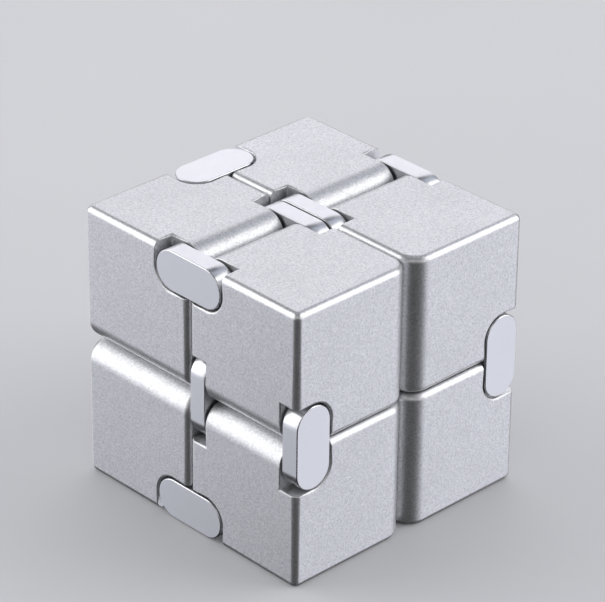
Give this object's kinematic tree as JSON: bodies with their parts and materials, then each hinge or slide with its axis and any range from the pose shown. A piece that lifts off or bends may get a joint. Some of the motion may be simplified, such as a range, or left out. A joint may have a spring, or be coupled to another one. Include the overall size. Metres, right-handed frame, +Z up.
{
  "type": "folding infinity cube",
  "caption": "Pocket-size desk toy: small rounded metal blocks joined in a ring by flush double-pivot hinges, which fold over and over through flat and closed shapes.",
  "frame": {"origin": "middle of the closed cube's underside", "axes": "+Z up with the closed cube standing on its underside; -Y and +X are the two side faces seen in the picture, left and right; the flat face of the base mount looks along -Z"},
  "size_m": [0.04, 0.04, 0.04],
  "materials": {
    "block_aluminium": "fine bead-blasted and clear anodised",
    "plate_aluminium": "smooth satin polish",
    "pin_steel": "ground"
  },
  "bodies": {
    "block_left_top": {"block_left_top": "block_aluminium"},
    "block_near_top": {"block_near_top": "block_aluminium"},
    "block_right_top": {"block_right_top": "block_aluminium"},
    "block_back_top": {"block_back_top": "block_aluminium"},
    "block_left_bottom": {"block_left_bottom": "block_aluminium"},
    "block_near_bottom": {"block_near_bottom": "block_aluminium"},
    "block_right_bottom": {"block_right_bottom": "block_aluminium", "hinge_right_side_pin_bottom": "pin_steel"},
    "block_back_bottom": {"block_back_bottom": "block_aluminium"},
    "hinge_back_top": {"hinge_back_top_outer_plate": "plate_aluminium", "hinge_back_top_inner_plate": "plate_aluminium", "hinge_back_top_pin_right": "pin_steel", "hinge_back_top_pin_back": "pin_steel"},
    "hinge_back_bottom": {"hinge_back_bottom_outer_plate": "plate_aluminium", "hinge_back_bottom_inner_plate": "plate_aluminium", "hinge_back_bottom_pin_right": "pin_steel", "hinge_back_bottom_pin_back": "pin_steel"},
    "hinge_front_top": {"hinge_front_top_outer_plate": "plate_aluminium", "hinge_front_top_inner_plate": "plate_aluminium", "hinge_front_top_pin_near": "pin_steel", "hinge_front_top_pin_left": "pin_steel"},
    "hinge_front_bottom": {"hinge_front_bottom_outer_plate": "plate_aluminium", "hinge_front_bottom_inner_plate": "plate_aluminium", "hinge_front_bottom_pin_near": "pin_steel", "hinge_front_bottom_pin_left": "pin_steel"},
    "hinge_left_top": {"hinge_left_top_outer_plate": "plate_aluminium", "hinge_left_top_inner_plate": "plate_aluminium", "hinge_left_top_pin_back": "pin_steel", "hinge_left_top_pin_left": "pin_steel"},
    "hinge_left_bottom": {"hinge_left_bottom_outer_plate": "plate_aluminium", "hinge_left_bottom_inner_plate": "plate_aluminium", "hinge_left_bottom_pin_back": "pin_steel", "hinge_left_bottom_pin_left": "pin_steel"},
    "hinge_near_side": {"hinge_near_side_outer_plate": "plate_aluminium", "hinge_near_side_inner_plate": "plate_aluminium", "hinge_near_side_pin_top": "pin_steel", "hinge_near_side_pin_bottom": "pin_steel"},
    "hinge_right_side": {"hinge_right_side_outer_plate": "plate_aluminium", "hinge_right_side_inner_plate": "plate_aluminium", "hinge_right_side_pin_top": "pin_steel"}
  },
  "joints": [
    {"name": "top_flap", "type": "hinge", "parent": "block_near_top", "child": "hinge_front_top", "pos_m": [0.00315, -0.01, 0.037], "axis": [0, 1, 0], "range_deg": [0, 90]},
    {"name": "top_flap_front_left", "type": "hinge", "parent": "hinge_front_top", "child": "block_left_top", "pos_m": [-0.00315, -0.01, 0.037], "axis": [0, 1, 0], "range_deg": [0, 90]},
    {"name": "book_fold", "type": "hinge", "parent": "block_left_top", "child": "hinge_left_top", "pos_m": [-0.017, -0.00315, 0.03], "axis": [0, 0, 1], "range_deg": [0, 90]},
    {"name": "book_fold_top_back", "type": "hinge", "parent": "hinge_left_top", "child": "block_back_top", "pos_m": [-0.017, 0.00315, 0.03], "axis": [0, 0, 1], "range_deg": [0, 90]},
    {"name": "top_flap_back_back", "type": "hinge", "parent": "block_back_top", "child": "hinge_back_top", "pos_m": [-0.00315, 0.01, 0.037], "axis": [0, -1, 0], "range_deg": [0, 90]},
    {"name": "top_flap_back_right", "type": "hinge", "parent": "hinge_back_top", "child": "block_right_top", "pos_m": [0.00315, 0.01, 0.037], "axis": [0, -1, 0], "range_deg": [0, 90]},
    {"name": "layer_fold_right_top", "type": "hinge", "parent": "block_right_top", "child": "hinge_right_side", "pos_m": [0.01, 0.017, 0.02315], "axis": [1, 0, 0], "range_deg": [0, 90]},
    {"name": "layer_fold", "type": "hinge", "parent": "block_near_top", "child": "hinge_near_side", "pos_m": [0.01, -0.017, 0.02315], "axis": [-1, 0, 0], "range_deg": [0, 90]},
    {"name": "layer_fold_near_bottom", "type": "hinge", "parent": "hinge_near_side", "child": "block_near_bottom", "pos_m": [0.01, -0.017, 0.01685], "axis": [-1, 0, 0], "range_deg": [0, 90]},
    {"name": "bottom_flap", "type": "hinge", "parent": "block_near_bottom", "child": "hinge_front_bottom", "pos_m": [0.00315, -0.01, 0.003], "axis": [0, -1, 0], "range_deg": [0, 90]},
    {"name": "bottom_flap_front_left", "type": "hinge", "parent": "hinge_front_bottom", "child": "block_left_bottom", "pos_m": [-0.00315, -0.01, 0.003], "axis": [0, -1, 0], "range_deg": [0, 90]},
    {"name": "book_fold_bottom_left", "type": "hinge", "parent": "block_left_bottom", "child": "hinge_left_bottom", "pos_m": [-0.017, -0.00315, 0.01], "axis": [0, 0, 1], "range_deg": [0, 90]},
    {"name": "book_fold_bottom_back", "type": "hinge", "parent": "hinge_left_bottom", "child": "block_back_bottom", "pos_m": [-0.017, 0.00315, 0.01], "axis": [0, 0, 1], "range_deg": [0, 90]},
    {"name": "bottom_flap_back_back", "type": "hinge", "parent": "block_back_bottom", "child": "hinge_back_bottom", "pos_m": [-0.00315, 0.01, 0.003], "axis": [0, 1, 0], "range_deg": [0, 90]},
    {"name": "bottom_flap_back_right", "type": "hinge", "parent": "hinge_back_bottom", "child": "block_right_bottom", "pos_m": [0.00315, 0.01, 0.003], "axis": [0, 1, 0], "range_deg": [0, 90]}
  ],
  "couplings": [
    {"joint": "book_fold_top_back", "follows": "book_fold", "ratio": 1},
    {"joint": "book_fold_bottom_left", "follows": "book_fold", "ratio": 1},
    {"joint": "book_fold_bottom_back", "follows": "book_fold", "ratio": 1},
    {"joint": "layer_fold_right_top", "follows": "layer_fold", "ratio": 1},
    {"joint": "layer_fold_near_bottom", "follows": "layer_fold", "ratio": 1},
    {"joint": "top_flap_front_left", "follows": "top_flap", "ratio": 1},
    {"joint": "top_flap_back_back", "follows": "top_flap", "ratio": 1},
    {"joint": "top_flap_back_right", "follows": "top_flap", "ratio": 1},
    {"joint": "bottom_flap_front_left", "follows": "bottom_flap", "ratio": 1},
    {"joint": "bottom_flap_back_back", "follows": "bottom_flap", "ratio": 1},
    {"joint": "bottom_flap_back_right", "follows": "bottom_flap", "ratio": 1}
  ]
}
